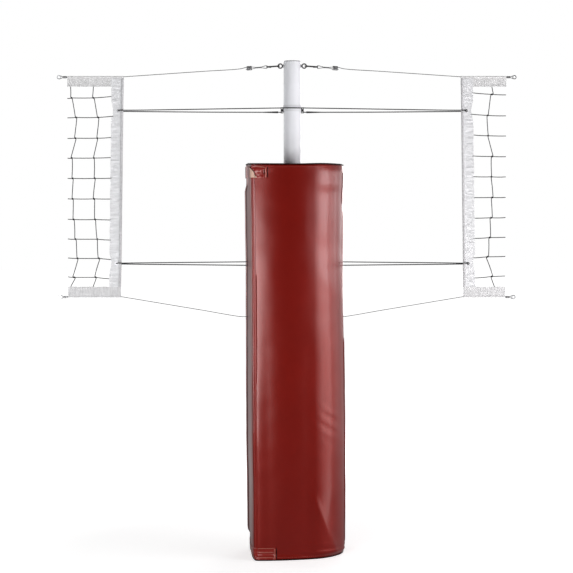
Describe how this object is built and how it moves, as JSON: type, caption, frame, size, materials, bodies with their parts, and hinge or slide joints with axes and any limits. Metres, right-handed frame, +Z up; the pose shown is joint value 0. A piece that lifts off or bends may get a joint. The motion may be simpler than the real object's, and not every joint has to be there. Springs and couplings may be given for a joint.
{
  "type": "volleyball net on poles",
  "caption": "Padded telescopic post between volleyball nets, with net cables, tension ropes and the end sections of the nets",
  "frame": {"origin": "on the floor at the centre of the four anchor holes, on the axis of the pole", "axes": "+Z up the pole, +X along the right-hand net, +Y away from the front of the pad"},
  "size_m": [2.156, 0.4564, 2.31],
  "materials": {
    "post_white": "gloss",
    "galvanised_steel": "satin",
    "dark_steel": "satin",
    "black_steel": "satin",
    "anchor_plate": "satin",
    "pale_plastic": "matte",
    "black_plastic": "matte",
    "red_vinyl": "gloss",
    "black_webbing": "matte",
    "wire_rope": "satin",
    "alloy_sleeve": "satin",
    "black_rope": "matte",
    "net_cord": "matte",
    "tape_cloth": "matte",
    "birch": "satin"
  },
  "bodies": {
    "post": {"base_plate": "anchor_plate", "base_tube": "galvanised_steel", "guide_bush": "pale_plastic", "clamp_collar": "dark_steel", "front_pad": "red_vinyl", "front_end_panel": "red_vinyl", "front_hinge_leaves": "red_vinyl", "top_strap": "red_vinyl", "bottom_strap": "red_vinyl"},
    "mast": {"mast_tube": "post_white", "slide_bush": "pale_plastic", "mast_cap": "pale_plastic", "eye_bolts": "dark_steel", "eye_washers": "galvanised_steel", "eye_nuts": "galvanised_steel", "top_left_snap": "dark_steel", "top_right_snap": "dark_steel", "bottom_left_snap": "dark_steel", "bottom_right_snap": "dark_steel", "top_left_cable": "wire_rope", "top_right_cable": "wire_rope", "bottom_left_cable": "wire_rope", "bottom_right_cable": "wire_rope", "pole_sleeves": "alloy_sleeve", "end_sleeves": "alloy_sleeve", "end_thimbles": "galvanised_steel", "upper_band": "post_white", "lower_band": "post_white", "rope_lugs": "black_steel", "rope_hooks": "black_steel", "upper_rope": "black_rope", "lower_left_rope": "black_rope", "lower_right_rope": "black_rope", "left_net": "net_cord", "right_net": "net_cord", "left_top_tape": "tape_cloth", "right_top_tape": "tape_cloth", "left_bottom_tape": "tape_cloth", "right_bottom_tape": "tape_cloth", "left_hem": "tape_cloth", "right_hem": "tape_cloth", "dowels": "birch", "grommets": "galvanised_steel"},
    "rear_half": {"rear_pad": "red_vinyl", "rear_end_panel": "red_vinyl", "rear_hinge_leaves": "red_vinyl", "loop_patches": "black_webbing"},
    "upper_tail": {"top_strap_tail": "red_vinyl"},
    "lower_tail": {"bottom_strap_tail": "red_vinyl"},
    "clamp_tip_body": {"clamp_tip": "galvanised_steel"},
    "clamp_screw_body": {"clamp_screw": "galvanised_steel", "clamp_knob": "black_plastic"},
    "pin_body": {"stop_pin": "galvanised_steel"},
    "gate_top_left": {"top_left_gate": "dark_steel"},
    "gate_top_right": {"top_right_gate": "dark_steel"},
    "gate_bottom_left": {"bottom_left_gate": "dark_steel"},
    "gate_bottom_right": {"bottom_right_gate": "dark_steel"}
  },
  "joints": [
    {"name": "mast_height", "type": "slide", "parent": "post", "child": "mast", "axis": [0, 0, 1], "range_m": [0, 0.19]},
    {"name": "stop_pin_pull", "type": "slide", "parent": "mast", "child": "pin_body", "axis": [0, 1, 0], "range_m": [0, 0.084]},
    {"name": "rear_half_swing", "type": "hinge", "parent": "post", "child": "rear_half", "pos_m": [0.2427, 0, 0.9], "axis": [0, 0, -1], "range_deg": [0, 75]},
    {"name": "top_tail_peel", "type": "hinge", "parent": "post", "child": "upper_tail", "pos_m": [-0.2064, 0, 1.782], "axis": [0, 0, 1], "range_deg": [0, 110]},
    {"name": "bottom_tail_peel", "type": "hinge", "parent": "post", "child": "lower_tail", "pos_m": [-0.1874, 0, 0.0325], "axis": [0, 0, 1], "range_deg": [0, 110]},
    {"name": "clamp_turn", "type": "hinge", "parent": "clamp_tip_body", "child": "clamp_screw_body", "pos_m": [-0.07, 0, 0.875], "axis": [-1, 0, 0], "range_deg": [0, 720]},
    {"name": "clamp_travel", "type": "slide", "parent": "post", "child": "clamp_tip_body", "axis": [-1, 0, 0], "range_m": [0, 0.004]},
    {"name": "top_left_gate_swing", "type": "hinge", "parent": "mast", "child": "gate_top_left", "pos_m": [-0.10184, 0.01, 2.28387], "axis": [0.0682, 0, -0.9977], "range_deg": [0, 24], "stiffness_Nm_per_rad": 0.05, "springref_deg": -20.05},
    {"name": "top_right_gate_swing", "type": "hinge", "parent": "mast", "child": "gate_top_right", "pos_m": [0.10184, 0.01, 2.28387], "axis": [0.0682, 0, 0.9977], "range_deg": [0, 24], "stiffness_Nm_per_rad": 0.05, "springref_deg": -20.05},
    {"name": "bottom_left_gate_swing", "type": "hinge", "parent": "mast", "child": "gate_bottom_left", "pos_m": [-0.10132, 0.01, 1.08757], "axis": [-0.1647, 0, -0.9864], "range_deg": [0, 24], "stiffness_Nm_per_rad": 0.05, "springref_deg": -20.05},
    {"name": "bottom_right_gate_swing", "type": "hinge", "parent": "mast", "child": "gate_bottom_right", "pos_m": [0.10132, 0.01, 1.08757], "axis": [-0.1647, 0, 0.9864], "range_deg": [0, 24], "stiffness_Nm_per_rad": 0.05, "springref_deg": -20.05}
  ],
  "couplings": [
    {"joint": "clamp_travel", "follows": "clamp_turn", "m_per_rad": 0.000318}
  ]
}
